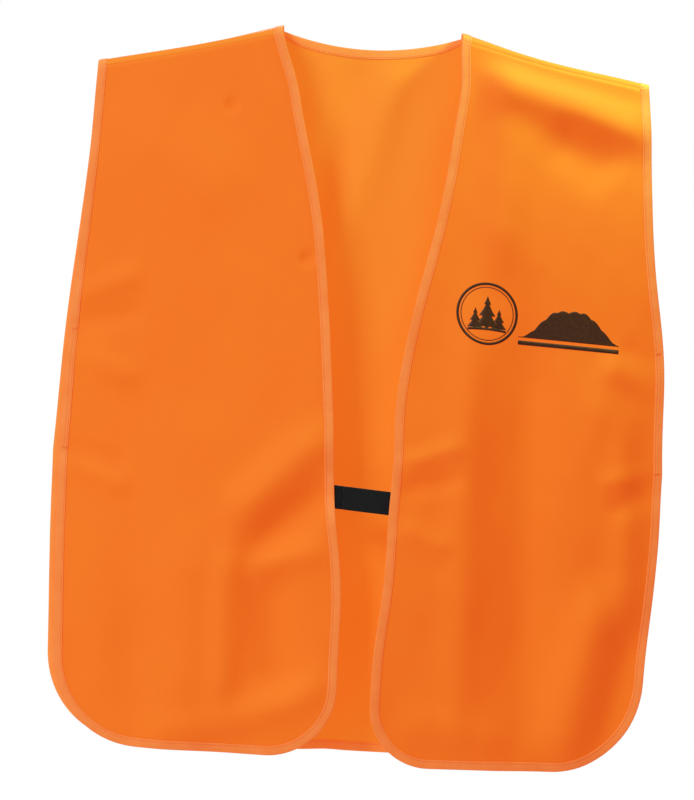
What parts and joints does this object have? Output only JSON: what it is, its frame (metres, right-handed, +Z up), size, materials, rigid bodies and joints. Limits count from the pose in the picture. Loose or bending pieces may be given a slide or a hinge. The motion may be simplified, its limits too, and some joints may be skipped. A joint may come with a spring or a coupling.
{
  "type": "blaze orange vest",
  "caption": "Sleeveless high-visibility orange vest with bound edges, rounded hems, side vents and an open front closed by one touch-fastener strap; both fronts open and the strap peels.",
  "frame": {"origin": "on the centre line at the height of the neck points, midway between the back and the fronts there, where shoulders or a hanger carry the vest", "axes": "+Z up along the vest, -Y out of the fronts, +X to the wearer's left"},
  "size_m": [0.526, 0.0437, 0.6363],
  "materials": {
    "orange_cloth": "woven fluorescent polyester, soft sheen",
    "binding_tape": "fine knitted tape, satin",
    "orange_thread": "spun thread",
    "black_tape": "woven nylon touch-fastener tape, matte",
    "black_thread": "spun thread"
  },
  "bodies": {
    "vest": {"back_panel": "orange_cloth", "back_neck_binding": "binding_tape", "back_edge_binding": "binding_tape", "back_neck_stitching": "orange_thread", "back_edge_stitching": "orange_thread", "left_shoulder_panel": "orange_cloth", "left_neck_binding": "binding_tape", "left_armhole_binding": "binding_tape", "left_neck_stitching": "orange_thread", "left_armhole_stitching": "orange_thread", "left_shoulder_seam": "orange_thread", "left_side_seam": "orange_thread", "right_shoulder_panel": "orange_cloth", "right_neck_binding": "binding_tape", "right_armhole_binding": "binding_tape", "right_neck_stitching": "orange_thread", "right_armhole_stitching": "orange_thread", "right_shoulder_seam": "orange_thread", "right_side_seam": "orange_thread"},
    "left_front": {"left_front_panel": "orange_cloth", "left_front_binding": "binding_tape", "left_front_stitching": "orange_thread", "hook_strap_sewn_end": "black_tape", "hook_strap_stitching": "black_thread"},
    "right_front": {"right_front_panel": "orange_cloth", "right_front_binding": "binding_tape", "right_front_stitching": "orange_thread", "loop_strap": "black_tape", "loop_strap_stitching": "black_thread"},
    "hook_strap_free": {"hook_strap": "black_tape"}
  },
  "joints": [
    {"name": "left_front_open", "type": "hinge", "parent": "vest", "child": "left_front", "pos_m": [0.25928, 0.0076, -0.37], "axis": [-0.4642, -0.0652, 0.8833], "range_deg": [0, 150]},
    {"name": "right_front_open", "type": "hinge", "parent": "vest", "child": "right_front", "pos_m": [-0.25928, 0.0076, -0.37], "axis": [-0.4642, 0.0652, -0.8833], "range_deg": [0, 120]},
    {"name": "hook_strap_peel", "type": "hinge", "parent": "left_front", "child": "hook_strap_free", "pos_m": [0.02412, -0.02343, -0.4069], "axis": [0.0777, 0.0109, 0.9969], "range_deg": [0, 165]}
  ],
  "couplings": [
    {"joint": "right_front_open", "follows": "left_front_open", "ratio": 0.8}
  ]
}
